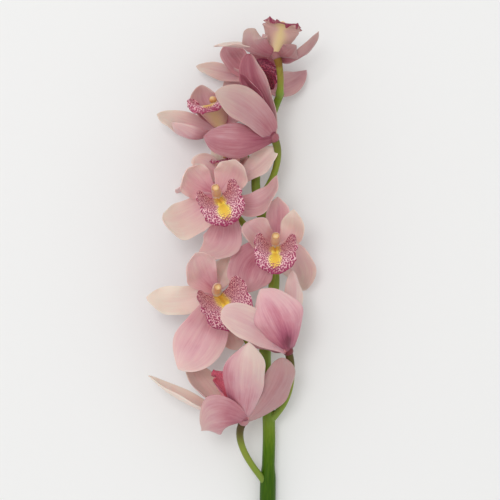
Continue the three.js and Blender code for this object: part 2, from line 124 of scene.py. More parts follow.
# A thin shell with an inner and an outer face over one grid, closed by a rim. raised lifts the inner face.
# Each mark is a pair, for the inner and the outer face. side is 1 on the inner face and 0 on the outer.
def bladeShell(middle, half, across, along, raised=0, **marks):
    rows, columns = half.shape
    lengthwise = np.gradient(middle, axis=0)
    crosswise = np.gradient(middle, axis=1)
    normal = unit(np.cross(crosswise, lengthwise))
    inner = middle + normal * (half + raised)[..., None]
    outer = middle - normal * half[..., None]
    points = np.concatenate([inner.reshape(-1, 3), outer.reshape(-1, 3)])
    points[:, 2] = np.maximum(points[:, 2], 0)
    index = np.arange(rows * columns).reshape(rows, columns)
    count = rows * columns
    p, q, r, s = index[:-1, :-1], index[:-1, 1:], index[1:, 1:], index[1:, :-1]
    faces = [np.stack([p, q, r, s], -1).reshape(-1, 4), np.stack([p, s, r, q], -1).reshape(-1, 4) + count]
    loop = np.concatenate([index[0, :-1], index[:-1, -1], index[-1, :0:-1], index[:0:-1, 0]])
    ahead = np.roll(loop, -1)
    faces.append(np.stack([ahead, loop, loop + count, ahead + count], -1))

    def spread(values):
        return np.broadcast_to(values, half.shape).reshape(-1)

    bothFaces = {name: np.concatenate([spread(face) for face in pair]) for name, pair in marks.items()}
    bothFaces["side"] = np.repeat([1.0, 0.0], count)
    across, along = np.tile(spread(across), 2), np.tile(spread(along), 2)
    return shell(points, np.concatenate(faces), across, along, **bothFaces)


# A closed solid of rings. middle, a and b are one per ring: its centre and its two half axes.
def ringShell(middle, a, b, sides, outline=None, **marks):
    rings = len(middle)
    angle = 2 * np.pi * np.arange(sides) / sides
    cosine, sine = np.cos(angle), np.sin(angle)
    if outline is not None:
        cosine, sine = outline(cosine, sine)
    points = middle[:, None] + a[:, None] * cosine[..., None] + b[:, None] * sine[..., None]
    points = np.concatenate([points.reshape(-1, 3), middle[[0, -1]]])
    points[:, 2] = np.maximum(points[:, 2], 0)
    index = np.arange(rings * sides).reshape(rings, sides)
    ahead = np.roll(index, -1, axis=1)
    faces = [np.stack([index[:-1], ahead[:-1], ahead[1:], index[1:]], -1).reshape(-1, 4).tolist()]
    faces.append([[rings * sides, k, (k + 1) % sides] for k in range(sides)])
    last = (rings - 1) * sides
    faces.append([[rings * sides + 1, last + (k + 1) % sides, last + k] for k in range(sides)])
    flat = [face for group in faces for face in group]
    # Turned round where the rings run against their own axes.
    if np.dot(np.cross(a[0], b[0]), middle[-1] - middle[0]) < 0:
        flat = [face[::-1] for face in flat]
    share = np.linspace(0, 1, rings)[:, None]

    def spread(values):
        whole = np.broadcast_to(values, (rings, sides))
        return np.append(whole.reshape(-1), (whole[0, 0], whole[-1, 0]))

    spreadMarks = {name: spread(values) for name, values in marks.items()}
    return shell(points, flat, spread(np.arange(sides)[None] / sides), spread(share), **spreadMarks)


def meshFrom(name, shells, material):
    points = np.concatenate([s["points"] for s in shells]) * mm
    faces = []
    start = 0
    for s in shells:
        faces += [[int(k) + start for k in face] for face in s["faces"]]
        start += len(s["points"])
    mesh = bpy.data.meshes.new(name)
    mesh.from_pydata(points.tolist(), [], faces)
    mesh.polygons.foreach_set("use_smooth", np.ones(len(faces), bool))
    corners = np.empty(len(mesh.loops), np.int64)
    mesh.loops.foreach_get("vertex_index", corners)
    place = np.concatenate([np.stack([s["across"], s["along"]], -1) for s in shells])
    mesh.uv_layers.new(name="place").data.foreach_set("uv", place[corners].reshape(-1))
    for mark in shells[0]["marks"]:
        values = np.concatenate([s["marks"][mark] for s in shells])
        mesh.attributes.new(mark, "FLOAT", "POINT").data.foreach_set("value", values)
    mesh.materials.append(material)
    mesh.update()
    piece = bpy.data.objects.new(name, mesh)
    bpy.context.scene.collection.objects.link(piece)
    return piece


def fit(piece, node):
    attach(piece, "root")
    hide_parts(node)


# A bloom has its hub's middle, the way it faces and the side its column is on. Its lip may have a size, a
# share of the usual bend and a height of ruffle of its own.
# A tepal has its tip, the pull on its rib (bow) and a further pull near the tip (hook), its width, how fast
# it widens (waist), how far its width is moved to one side (lean), the degrees it is cupped through, how
# sharp its tip is, and the way its inner face looks.
# inside and outside give a tepal's colour at the root, the middle and the tip: 0 is ivory, 0.5 dusty pink
# and 1 deep magenta. rib darkens its midrib, and blush either half. Its painted shade, from 0 to 1, browns
# and darkens it where it lies in less light.
# lipFlush reddens a lip, lipGold and outerGold are how yellow its two faces are, and lipRim says where its
# dark margin starts and how dark it is. A lip and a hub may have painted shade of their own, and hubTone
# colours the hub as a tepal.
blooms = [
    {
        "name": "bloom_01", "at": (7.5, -84.5, 40), "faces": (-0.12, 0.98, 0.1), "up": (0.1, 0.1, 0.95),
        "lipSize": 1.2, "ruffle": 2.4, "lipFlush": 0.5, "lipGold": 0.35, "hubTone": 0.6, "hubPaintedShade": 0.45,
        "dusk": 0.15,
        "tepals": {
            "dorsalSepal": {
                "tip": (11, -28, 73), "bow": (3, 2, 15), "wide": 32, "waist": 0.9, "lean": 0.22, "cup": 60,
                "sharp": 0.95, "looks": (-0.1, 0.2, -1), "outside": (0.65, 0.38, 0.15), "blush": (0, 0.35),
            },
            "rightPetal": {
                "tip": (34, -40, 48), "bow": (9, -3, 6), "wide": 28, "waist": 0.9, "lean": -0.14, "cup": 30,
                "sharp": 0.5, "looks": (-0.4, 0.5, -0.8), "outside": (0.48, 0.5, 0.4), "dusk": 0.45,
            },
            "rightSepal": {
                "tip": (-34, -43, 24), "bow": (-4, -4, -6), "wide": 29, "cup": 40,
                "inside": (0.42, 0.25, 0.12), "dusk": 0,
            },
            "leftPetal": {
                "tip": (-60, -53.5, 30), "bow": (2, -9, 0), "wide": 24, "cup": 80,
                "inside": (0.42, 0.17, -0.1), "outside": (0.7, 0.2, 0), "dusk": 0,
            },
            "leftSepal": {
                "tip": (-22, -91, 44), "bow": (0, 1.5, 14), "wide": 32, "lean": -0.5, "cup": 40,
                "sharp": 1.6, "looks": (0.2, 0.5, -0.9), "outside": (0.78, 0.6, 0.3), "dusk": 0.25,
            },
        },
    },
    {
        "name": "bloom_02", "at": (38.5, -35.5, 42), "faces": (-0.6, 0.75, 0.1), "up": (0.3, 0.2, 0.9),
        "hubTone": 1, "hubPaintedShade": 0.5,
        "tepals": {
            "dorsalSepal": {
                "tip": (19, 8, 66), "bow": (6, -3, 16), "wide": 40, "cup": 70, "looks": (-0.2, 0.3, -1),
                "outside": (0.92, 0.6, 0.4), "rib": 0.3,
            },
            "leftPetal": {
                "tip": (-8, -8, 75.5), "bow": (-2, 5, 8), "wide": 25, "cup": 30, "sharp": 0.5,
                "looks": (0, 0.3, 1), "inside": (0.6, 0.35, 0.3), "dusk": 0.1,
            },
            "rightPetal": {
                "tip": (41, 21, 46), "bow": (4, 0, 0), "wide": 16, "cup": 50, "looks": (-0.5, 0, -0.9),
                "outside": (0.5, 0.3, 0.3), "dusk": 0.1,
            },
            "leftSepal": {
                "tip": (12, -29, 50), "bow": (0, -3, -2), "wide": 22, "cup": 50,
                "outside": (0.9, 0.55, 0.45), "dusk": 0.15,
            },
            "rightSepal": {"tip": (24, 8, 36), "bow": (2, 0, -6), "wide": 22, "cup": 40},
        },
    },
    {
        "name": "bloom_03", "at": (-11.5, 5.5, 33), "faces": (0.15, -0.05, 1), "up": (-0.38, 0.92, 0),
        "lipSize": 1.2,
        "tepals": {
            "dorsalSepal": {
                "tip": (-25.5, 33, 61), "bow": (-5, 0, -3), "wide": 26, "cup": 50, "sharp": 0.5,
                "inside": (0.62, 0.43, 0.32),
            },
            "leftPetal": {
                "tip": (-60.5, 1.8, 42), "bow": (0, -5, -4), "wide": 22, "waist": 0.7, "cup": 30,
                "inside": (0.5, 0.1, -0.1),
            },
            "rightPetal": {
                "tip": (-3, 30, 26), "bow": (0, 0, -4), "wide": 18, "cup": 30, "inside": (0.5, 0.15, 0),
            },
            "leftSepal": {
                "tip": (-38.5, -48, 42), "bow": (5.5, -4, 2), "wide": 37, "cup": 30, "sharp": 0.7,
                "inside": (0.62, 0.48, 0.34),
            },
            "rightSepal": {
                "tip": (3, -36, 20), "bow": (0, 0, -2), "wide": 24, "cup": 30, "inside": (0.5, 0.3, 0.15),
            },
        },
    },
    {
        "name": "bloom_04", "at": (29.5, 39.5, 38), "faces": (0, 0, 1), "up": (0.03, 1, 0),
        "tepals": {
            "dorsalSepal": {"tip": (31.5, 72, 46), "bow": (1, 0, -8), "wide": 18, "cup": 30, "sharp": 0.85},
            "leftPetal": {
                "tip": (9.5, 54.5, 50), "bow": (-3, 0, 4), "wide": 25, "cup": 100,
                "inside": (0.6, 0.38, 0.45), "dusk": 0.12,
            },
            "rightPetal": {
                "tip": (42, 63, 58), "bow": (7, -4, -6), "wide": 20, "cup": 50, "inside": (0.5, 0.25, 0.1),
            },
            "leftSepal": {
                "tip": (8, 5, 34), "bow": (-6, 4, -4), "wide": 35, "cup": 30, "sharp": 0.5,
                "inside": (0.7, 0.6, 0.5),
            },
            "rightSepal": {
                "tip": (48, 6.5, -1), "bow": (6, 6, 6), "wide": 28, "cup": 40, "sharp": 0.7,
                "inside": (0.4, 0.36, 0.2),
            },
        },
    },
    {
        "name": "bloom_05", "at": (-11, 73.5, 42), "faces": (0.05, -0.03, 1), "up": (-0.35, 0.94, 0),
        "lipSize": 1.05,
        "tepals": {
            "dorsalSepal": {
                "tip": (-31, 91, 64), "bow": (-7, 1, -6), "wide": 28, "cup": 60, "sharp": 0.5,
                "inside": (0.68, 0.43, 0.2),
            },
            "leftPetal": {
                "tip": (-48.5, 56, 62), "bow": (-5, -7, -8), "wide": 28, "waist": 0.35, "lean": -0.28,
                "cup": 40, "sharp": 0.5, "inside": (0.6, 0.24, -0.05),
            },
            "rightPetal": {
                "tip": (2, 97, 62), "bow": (4, 2, -6), "wide": 26, "waist": 0.9, "cup": 50, "sharp": 0.6,
                "inside": (0.56, 0.36, 0.18),
            },
            "leftSepal": {
                "tip": (-24, 33.5, 38), "bow": (10, -11, -5), "wide": 29, "lean": -0.3, "cup": 50,
                "inside": (0.9, 0.52, 0.34), "dusk": 0.08,
            },
            "rightSepal": {
                "tip": (30.5, 86.5, 60), "bow": (10, -17, -4), "wide": 20, "cup": 50,
                "inside": (0.72, 0.5, 0.38), "dusk": 0.2,
            },
        },
    },
    {
        "name": "bloom_06", "at": (0, 81, 27), "faces": (-0.25, 0.9, 0.1), "up": (0.2, -0.1, -0.95),
        "lipSize": 0.72,
        "tepals": {
            "dorsalSepal": {
                "tip": (-8, 118, 10), "bow": (0, 0, -6), "wide": 22, "cup": 40, "inside": (0.4, 0.1, 0.1),
            },
            "leftPetal": {
                "tip": (-29.5, 97, 34), "bow": (-2, 4, 0), "wide": 18, "cup": 40, "looks": (0, 0.3, 1),
                "inside": (0.6, 0.37, 0.15),
            },
            "rightPetal": {
                "tip": (30.5, 107, 40), "bow": (2, 0, 4), "wide": 18, "cup": 30, "looks": (-0.2, 0.4, 1),
                "inside": (0.4, 0.25, 0.15),
            },
            "leftSepal": {"tip": (-41, 76, -1), "bow": (0, 4, 3), "wide": 24, "cup": 40},
            "rightSepal": {
                "tip": (14, 116, 20), "bow": (0, 0, 0), "wide": 20, "cup": 30, "inside": (0.5, 0.35, 0.2),
            },
        },
    },
    {
        "name": "bloom_07", "at": (28.5, 113.5, 46), "faces": (-0.75, 0.62, -0.35), "up": (0.3, 0.2, 0.9),
        "lipSize": 0.8, "hubTone": 0.75, "hubPaintedShade": 0.5, "dusk": 0.3,
        "tepals": {
            "dorsalSepal": {
                "tip": (-20, 113, 60), "bow": (0, -5, 14), "wide": 27, "cup": 60, "looks": (0.1, 0.2, -1),
                "outside": (0.9, 0.66, 0.57),
            },
            "leftPetal": {
                "tip": (-12, 143, 65.5), "bow": (4, 4, 7), "wide": 25, "waist": 0.6, "cup": 30,
                "looks": (0.2, 0.2, 1), "inside": (0.7, 0.47, 0.22), "dusk": 0.38,
            },
            "rightPetal": {
                "tip": (5, 157, 54), "bow": (3, 0, 2), "wide": 10, "cup": 40, "looks": (-0.4, 0, 1),
                "inside": (1, 0.95, 0.9),
            },
            "leftSepal": {
                "tip": (12, 171.5, 48), "bow": (4, 0, -2), "hook": (-11, 0, 0), "wide": 22, "cup": 80,
                "sharp": 0.5, "looks": (-0.4, 0, 1), "inside": (0.6, 0.78, 0.74), "blush": (0, -0.3),
                "dusk": 0.3,
            },
            "rightSepal": {"tip": (14, 146, 36), "bow": (4, 0, 0), "wide": 18, "cup": 50},
        },
    },
    {
        "name": "bloom_08", "at": (-8.5, 121.5, 25), "faces": (-0.28, 0.77, 0.57), "up": (0.1, 0.35, -0.9),
        "lipSize": 1.05, "lipFlush": 0.1, "outerGold": 0.28, "lipPaintedShade": 0.04, "dusk": 0.2,
        "tepals": {
            "dorsalSepal": {
                "tip": (-22, 152, 24), "bow": (-5, 0, -4), "wide": 23, "cup": 50,
                "inside": (0.75, 0.56, 0.34), "dusk": 0.25,
            },
            "leftPetal": {
                "tip": (-54, 131, 26), "bow": (0, -4, -6), "wide": 20, "cup": 40, "looks": (0.2, 0.5, 1),
                "inside": (0.55, 0.34, -0.05), "dusk": 0.12,
            },
            "rightPetal": {
                "tip": (-5, 149, 24), "bow": (6, -2, -10), "wide": 21, "cup": 40, "looks": (0, 0.3, 1),
            },
            "leftSepal": {
                "tip": (-42, 124, 46), "bow": (-2, -11, 4), "wide": 22, "cup": 60,
                "looks": (0.2, 0.9, -0.4), "dusk": 0.12,
            },
            "rightSepal": {"tip": (8, 134, 22), "bow": (0, 0, 2), "wide": 20, "cup": 40, "dusk": 0},
        },
    },
    {
        "name": "bloom_09", "at": (17.5, 155.5, 18), "faces": (0.1, -0.1, 1), "up": (-0.1, -1, 0),
        # Its lip's deep flush is partly its own colour and partly painted shade, for the shade it lies in.
        "lipSize": 0.75, "lipFlush": 0.95, "lipGold": 0, "dusk": 0.25,
        "tepals": {
            "dorsalSepal": {"tip": (-7.5, 150.5, 6), "bow": (0, 0, -2), "wide": 20, "cup": 30},
            "leftPetal": {
                "tip": (52.5, 164.5, 2), "bow": (0, -9, 4), "wide": 19, "cup": 30, "sharp": 0.9,
                "inside": (0.5, 0.47, 0.55), "dusk": 0.35,
            },
            "rightPetal": {
                "tip": (-26.5, 166, 16), "bow": (0, 0, 2), "wide": 12, "cup": 40, "inside": (0.6, 0.42, 0),
            },
            "leftSepal": {
                "tip": (24.5, 184, 8), "bow": (0, 0, 2), "wide": 22, "cup": 30, "inside": (0.8, 0.7, 0.5),
                "dusk": 0.5,
            },
            "rightSepal": {
                "tip": (-5, 181, 24), "bow": (-4, 0, -2), "wide": 19, "cup": 40, "sharp": 0.5,
                "inside": (0.85, 0.6, 0.5),
            },
        },
    },
    {
        "name": "bloom_10", "at": (30, 170, 56), "faces": (0.2, 0.97, 0.05), "up": (0, 0.05, -1),
        "lipSize": 0.78, "lipBend": 0.8, "ruffle": 2.6, "lipGold": 0.6, "outerGold": 0.32,
        "lipRim": (0.6, 0.9), "lipPaintedShade": 0.25, "hubTone": 0.6, "hubPaintedShade": 0.65, "dusk": 0.25,
        "tepals": {
            "dorsalSepal": {"tip": (28, 188, 32), "bow": (0, 0, -4), "wide": 20, "cup": 30},
            "leftPetal": {
                "tip": (-13.5, 176.5, 50), "bow": (0, 3, 0), "wide": 16, "cup": 30, "looks": (0, 1, 0.2),
                "inside": (0.5, 0.2, 0.1), "outside": (0.6, 0.3, 0.15), "dusk": 0.15,
            },
            "rightPetal": {
                "tip": (59.5, 187, 48), "bow": (0, -15, 0), "hook": (6, 10, 0), "wide": 12, "cup": 50,
                "sharp": 1, "looks": (-0.6, 0.7, -0.6), "outside": (1.1, 0.5, 0.25), "dusk": 0.5,
            },
            "leftSepal": {
                "tip": (15.5, 187, 64), "bow": (-10, -3, 4), "wide": 24, "cup": 60,
                "looks": (0.5, 0.4, -0.8), "outside": (0.8, 0.5, 0.26), "dusk": 0.45,
            },
            "rightSepal": {
                "tip": (43.5, 176, 62), "bow": (2, -4, 4), "wide": 17, "cup": 50,
                "looks": (-0.4, 0.6, -0.7), "outside": (0.72, 0.6, 0.45), "dusk": 0.6,
            },
        },
    },
]


def bloomAxes(bloom):
    forward = unit(bloom["faces"])
    right = unit(np.cross(forward, bloom["up"]))
    return forward, np.cross(right, forward), right


# A line drawn as (ahead, above) from a bloom's hub, as the controls of a curve in space.
def bloomLine(bloom, line, size=1):
    forward, up, _ = bloomAxes(bloom)
    return [np.array(bloom["at"]) + forward * ahead * size + up * above * size for ahead, above in line]


# How far out and how far up each point of a bent section lies, as shares of the half width.
def bentSection(slope, v):
    step = np.diff(v)
    middle = (slope[:, 1:] + slope[:, :-1]) / 2
    zero = np.zeros((len(slope), 1))
    out = np.concatenate([zero, np.cumsum(np.cos(middle) * step, axis=1)], axis=1)
    rise = np.concatenate([zero, np.cumsum(np.sin(middle) * step, axis=1)], axis=1)
    centre = len(v) // 2
    return out - out[:, centre:centre + 1], rise - rise[:, centre:centre + 1]


tepalForm = {
    "rows": 48, "columns": 27, "rootOut": 2, "focus": 30, "ribControls": (0.33, 0.72), "crowding": 1.3,
    "ribThick": 1.3, "edgeThick": 0.7, "leastHalf": 0.08, "rootShare": 0.3, "widestAt": 0.56, "waist": 1.2,
    "tipSharpness": 0.72, "tipWidth": 0.8, "keel": 14, "keelWide": 0.12, "endCup": 0.7,
    "uneven": 0.02,  # how much its width varies along it, as a share
    "waveHeight": 0.9, "waves": (1.5, 2.6),  # the margin's waves: their height in mm and how many
    "swellHeight": 0.35, "swells": (3, 7),  # the face's swells: their height in mm and how many half ones
    "grooveDeep": 0.35, "grooveWide": 0.06,  # the midrib's channel: in mm, and as a share of the half width
    "inside": (0.72, 0.5, 0.32), "outside": (0.85, 0.55, 0.35),  # colour where a tepal names none
    "middleAt": 0.45,  # how far along the middle colour lies
    # The margin is painted paler, as a rim highlight.
    "rib": 0.1, "ribWide": 0.3, "paintedRimHighlight": 0.06,  # how much darker its midrib is, and paler its margin
}
hubForm = {"radius": 3.8, "rings": 14, "sides": 20}


def tepalOutline(u, sharpness, waist):
    f = tepalForm
    grown = np.sin(np.pi * np.minimum(u, f["widestAt"]) / (2 * f["widestAt"])) ** waist
    lower = f["rootShare"] + (1 - f["rootShare"]) * grown
    past = np.clip((u - f["widestAt"]) / (1 - f["widestAt"]), 0, 1)
    return np.where(u < f["widestAt"], lower, (1 - past * past) ** sharpness)


def tepalShell(bloom, shape, chance):
    f = tepalForm
    at, tip, bow = [np.array(p, float) for p in (bloom["at"], shape["tip"], shape["bow"])]
    hook = np.array(shape.get("hook", (0, 0, 0)), float)
    near, far = f["ribControls"]
    root = at + unit((tip - at) * near + bow) * f["rootOut"]
    controls = [root, root + (tip - root) * near + bow, root + (tip - root) * far + bow + hook, tip]
    share = np.linspace(0, 1, f["rows"])
    u = 1 - (1 - share) ** f["crowding"]
    v = np.sin(np.linspace(-np.pi / 2, np.pi / 2, f["columns"]))
    rib, along = bezier(controls, u)
    looks = shape.get("looks", root + unit(bloom["faces"]) * f["focus"] - rib)
    side = unit(np.cross(along, looks))
    inner = np.cross(side, along)
    U, V = u[:, None], v[None]
    outline = tepalOutline(u, shape.get("sharp", f["tipSharpness"]), shape.get("waist", f["waist"]))
    outline = outline * (1 + f["uneven"] * np.sin(u * 9 + chance.uniform(0, 6)))
    halfWidth = np.maximum(shape["wide"] * outline, f["tipWidth"])[:, None] / 2
    bend = np.radians(shape["cup"]) * (f["endCup"] + (1 - f["endCup"]) * np.sin(np.pi * u))[:, None]
    slope = np.radians(f["keel"]) / 2 * np.tanh(V / f["keelWide"]) + bend / 2 * V
    out, rise = bentSection(slope, v)
    out = out * (1 + shape.get("lean", 0) * np.sign(V))
    middle = rib[:, None] + side[:, None] * (out * halfWidth)[..., None]
    middle = middle + inner[:, None] * (rise * halfWidth)[..., None]
    # The margins wave, each in its own way, and the midrib is a shallow channel.
    waves = [np.sin(2 * np.pi * chance.uniform(*f["waves"]) * U + chance.uniform(0, 6)) for _ in range(2)]
    wave = f["waveHeight"] * np.where(V < 0, waves[0], waves[1]) * np.abs(V) ** 2.5
    wave = wave * ease(0.2, 0.5, U) * ease(1, 0.85, U)
    groove = -f["grooveDeep"] * np.exp(-(V / f["grooveWide"]) ** 2) * ease(0, 0.15, U) * ease(1, 0.7, U)
    swell = sum(
        np.sin(
            chance.uniform(*f["swells"]) * U * np.pi / 2 + chance.uniform(-3, 3) * V + chance.uniform(0, 6)
        ) for _ in range(3)
    )
    swell = swell * f["swellHeight"] * ease(0.1, 0.4, U) * ease(1, 0.8, U)
    normal = inner[:, None] * np.cos(slope)[..., None] - side[:, None] * np.sin(slope)[..., None]
    middle = middle + normal * (wave + groove + swell)[..., None]
    thick = f["ribThick"] + (f["edgeThick"] - f["ribThick"]) * np.abs(V)
    # Thin and round at its margins, and thinner at its tip.
    half = thick / 2 * np.sqrt(np.clip(1 - np.abs(V) ** 12, 0, 1)) * (1 - 0.7 * U ** 20) + f["leastHalf"]
    midrib = shape.get("rib", f["rib"]) * np.exp(-(V / f["ribWide"]) ** 2) * (1 - U) ** 0.8 * ease(0, 0.2, U)
    flushed = np.where(V < 0, *shape.get("blush", (0, 0))) * ease(0.1, 1, np.abs(V))
    tone = []
    for face in ("inside", "outside"):
        atRoot, atMiddle, atTip = shape.get(face, f[face])
        spread = through([(0, atRoot), (f["middleAt"], atMiddle), (1, atTip)], U)
        # The margin is painted paler, as a rim highlight.
        tone.append(spread + midrib + flushed - f["paintedRimHighlight"] * ease(0.7, 1, np.abs(V)))
    # Painted shade: a brown darkening where the tepal lies in less light.
    dusk = shape.get("dusk", bloom.get("dusk", 0))
    return bladeShell(middle, half, (V + 1) / 2, U, tone=tone, dusk=(dusk, dusk))


# The small ball that the tepals grow from.
def hubShell(bloom):
    f = hubForm
    turn = np.linspace(poleGap, np.pi - poleGap, f["rings"])
    forward, up, right = bloomAxes(bloom)
    middle = np.array(bloom["at"]) - forward * f["radius"] * np.cos(turn)[:, None]
    reach = f["radius"] * np.sin(turn)[:, None]
    # The hub's tone, and its painted shade, which follows its bloom's unless it has its own.
    tone, dusk = bloom.get("hubTone", 0), bloom.get("hubPaintedShade", bloom.get("dusk", 0))
    return ringShell(middle, right * reach, up * reach, f["sides"], tone=tone, dusk=dusk, side=0.0)


# Each pair below starts with a share of the lip's length, and goes on with the half width, the bend in
# degrees or the reach of the yellow there. Lengths are in mm.
lipForm = {
    "rows": 90, "columns": 65, "thick": 0.8, "leastHalf": 0.07, "length": 48,
    "line": ((1, -3), (16, -7.5), (30, -4), (27, -21)),
    "halfWidths": (
        (0, 4), (0.1, 9), (0.2, 14), (0.3, 18.5), (0.38, 21), (0.45, 22), (0.52, 20.5), (0.6, 18),
        (0.7, 15.5), (0.8, 14), (0.9, 11), (1, 4),
    ),
    "bends": (
        (0, 150), (0.1, 180), (0.2, 215), (0.3, 235), (0.38, 235), (0.45, 215), (0.52, 180), (0.6, 140),
        (0.7, 90), (0.8, 40), (0.9, -10), (1, -60),
    ),
    "turnsLate": 1.25,  # over 1, its sides curl up more towards their margins
    "ruffleHeight": 1.1, "ruffles": 7, "ruffleStart": (0.4, 0.62),
    "ridgeAt": 1.6, "ridgeWide": 1.1, "ridgeHeight": 2,  # two ridges, each this far from the middle
    "ridgeFrom": 0.03, "ridgeTo": 0.52,
    "goldWidths": (
        (0, 3), (0.35, 3.4), (0.46, 2.8), (0.53, 1.9), (0.63, 3.4), (0.74, 4), (0.84, 3), (0.94, 0.6),
    ),
    "goldFades": 1.6, "goldEnds": (0.96, 0.86), "outerGold": 0.15,
    # How far round each spot's middle the colour reaches, in shares of the way to the next. Under 0 is none.
    "spots": 0.44, "midSpots": 0.03, "tipSpots": 0.12, "sideSpots": 0.04, "goldSpots": -0.42,
    "outerSpots": -0.2,
    "rim": (0.82, 0.55), "outerRim": (0.86, 0.9),  # where the dark margin starts, and how dark it is
}


def lipShell(bloom, chance):
    f = lipForm
    size = bloom.get("lipSize", 1)
    _, _, right = bloomAxes(bloom)
    u = np.linspace(0, 1, f["rows"])
    v = np.sin(np.linspace(-np.pi / 2, np.pi / 2, f["columns"]))
    U, V = u[:, None], v[None]
    line, along = bezier(bloomLine(bloom, f["line"], size), u)
    inner = np.cross(np.broadcast_to(right, along.shape), along)
    halfWidth = through(f["halfWidths"], u)[:, None] * size
    bends = np.radians(through(f["bends"], u))[:, None] * bloom.get("lipBend", 1)
    slope = bends / 2 * np.sign(V) * np.abs(V) ** f["turnsLate"]
    out, rise = bentSection(slope, v)
    middle = line[:, None] + right * (out * halfWidth)[..., None]
    middle = middle + inner[:, None] * (rise * halfWidth)[..., None]
    normal = inner[:, None] * np.cos(slope)[..., None] - right * np.sin(slope)[..., None]
    reach = np.abs(V)
    ruffle = sum(
        height * np.sin(2 * np.pi * count * U + chance.uniform(0, 6) + V * 1.5)
        for height, count in ((0.7, f["ruffles"]), (0.3, f["ruffles"] * 1.9))
    )
    ruffle = ruffle * bloom.get("ruffle", f["ruffleHeight"]) * reach ** 3 * ease(*f["ruffleStart"], U)
    # Two ridges run out over the middle, and end in the swellings at the throat.
    aside = reach * halfWidth / size
    ridge = np.exp(-((aside - f["ridgeAt"]) / f["ridgeWide"]) ** 2)
    ridge = ridge * ease(f["ridgeFrom"], f["ridgeFrom"] + 0.08, U)
    ridge = ridge * ease(f["ridgeTo"], f["ridgeTo"] - 0.06, U)
    middle = middle + normal * ruffle[..., None]
    half = f["thick"] / 2 * np.sqrt(np.clip(1 - reach ** 12, 0, 1)) * np.ones_like(U) + f["leastHalf"]
    # A yellow patch down the middle, softer and wider on the outer face.
    goldWide, goldLong = through(f["goldWidths"], U), ease(*f["goldEnds"], U)
    patch = ease(1.3 * goldWide + f["goldFades"], 0.2 * goldWide, aside) * goldLong
    gold = np.maximum(patch, 0.5 * ridge) * bloom.get("lipGold", 1)
    outerGold = bloom.get("outerGold", f["outerGold"]) * ease(3 * goldWide, 0, aside) * goldLong
    # More spots towards the tip and the sides, and fewer on the yellow.
    spotting = f["spots"] + f["midSpots"] * ease(0.5, 0.8, U) + f["tipSpots"] * ease(0.8, 1, U)
    spotting = spotting + f["sideSpots"] * ease(0.8, 1, reach)
    spotting = spotting + f["goldSpots"] * gold * ease(0.93, 0.72, U)
    rimFrom, rimDepth = bloom.get("lipRim", f["rim"])
    rim = rimDepth * ease(rimFrom, 1, np.maximum(reach * ease(0.55, 0.8, U), U))
    outerFrom, outerDepth = f["outerRim"]
    outerRim = outerDepth * ease(outerFrom, 1, np.maximum(reach * ease(0.2, 0.4, U), U))
    # Places on the lip in mm, so that its spots are the same size all over.
    across, along = V * halfWidth, U * f["length"] * size + 0 * V
    # The lip's flush, and its painted shade, a brown darkening where it lies in less light.
    flush, dusk = bloom.get("lipFlush", 0), bloom.get("lipPaintedShade", 0)
    return bladeShell(
        middle, half, across, along, ridge * f["ridgeHeight"], gold=(gold, outerGold),
        spotting=(spotting, f["outerSpots"]), rim=(rim, outerRim), flush=(flush, 0.6 * flush),
        dusk=(dusk, dusk),
    )


columnForm = {
    "line": ((1, 1.2), (10, 3), (16, 6.5), (20, 5.4)), "rootWide": 7, "endWide": 5.2, "rootDeep": 6.4,
    "endDeep": 4.4, "hollow": 0.3, "rings": 26, "sides": 28,
}
capForm = {"gap": 0.35, "long": 3.6, "wide": 5.4, "deep": 4.8, "notch": 0.16, "rings": 14, "sides": 28}


def columnShell(bloom):
    f = columnForm
    _, _, right = bloomAxes(bloom)
    u = np.linspace(0, 1, f["rings"])
    line, along = bezier(bloomLine(bloom, f["line"]), u)
    halfWide = (f["rootWide"] + (f["endWide"] - f["rootWide"]) * u) / 2
    halfDeep = (f["rootDeep"] + (f["endDeep"] - f["rootDeep"]) * u) / 2
    wide = right * halfWide[:, None]
    deep = np.cross(np.broadcast_to(right, along.shape), along) * halfDeep[:, None]

    # Round at the root, and hollowed below towards the end, like a half pipe.
    def halfPipe(cosine, sine):
        hollow = f["hollow"] * ease(0.1, 0.6, u)[:, None] * (1 - cosine ** 2)
        return cosine, np.where(sine < 0, sine * (1 - hollow), sine)

    above = np.sin(2 * np.pi * np.arange(f["sides"]) / f["sides"])
    tone = np.clip((1 - u)[:, None] * 0.5 + 0.5 * ease(-0.2, 0.8, above), 0, 1)
    return ringShell(line, wide, deep, f["sides"], halfPipe, tone=tone)


def capShell(bloom):
    f = capForm
    _, _, right = bloomAxes(bloom)
    end, along = bezier(bloomLine(bloom, columnForm["line"]), np.array([1.0]))
    turn = np.linspace(0, np.pi / 2 - poleGap, f["rings"])
    middle = end + along * (f["gap"] + f["long"] * np.sin(turn))[:, None]
    wide = right * (f["wide"] / 2 * np.cos(turn))[:, None]
    deep = np.cross(right, along[0]) * (f["deep"] / 2 * np.cos(turn))[:, None]

    # A shallow notch divides the cap in two.
    def notched(cosine, sine):
        return cosine, sine * (1 - f["notch"] * np.exp(-(cosine / 0.3) ** 2))

    return ringShell(middle, wide, deep, f["sides"], notched, tone=np.sin(turn)[:, None])


# The brown that painted shade mixes in.
duskBrown = linearColour("#6B3A26")


